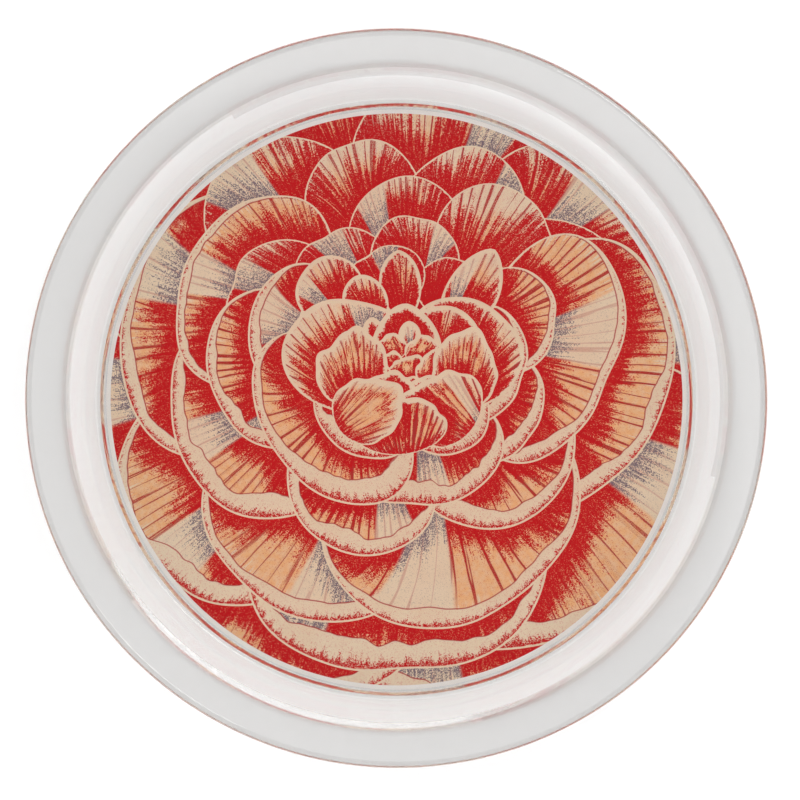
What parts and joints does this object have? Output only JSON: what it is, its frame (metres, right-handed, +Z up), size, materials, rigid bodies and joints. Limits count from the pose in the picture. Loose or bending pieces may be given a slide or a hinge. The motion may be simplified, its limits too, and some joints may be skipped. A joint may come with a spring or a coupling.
{
  "type": "decoupage glass bottle coaster",
  "caption": "Round shallow clear glass dish with a flared rim and a printed camellia on paper under its flat base; it stands on a felt pad and holds a bottle or small things.",
  "frame": {"origin": "centre of the felt pad's underside, on the surface the dish stands on", "axes": "+Z up along the dish's axis of symmetry, +Y towards the top of the printed flower, +X to its right seen from above"},
  "size_m": [0.133, 0.133, 0.0152],
  "materials": {
    "clear_glass": "clear polished glass with faint ripples",
    "printed_paper": "paper printed in deep red, peach and cream, seen through the glass",
    "backing_paper": "plain varnished paper",
    "felt": "short dense wool felt"
  },
  "bodies": {
    "root": {"glass_dish": "clear_glass", "printed_disc": "printed_paper", "backing_paper": "backing_paper", "felt_pad": "felt"}
  },
  "joints": []
}
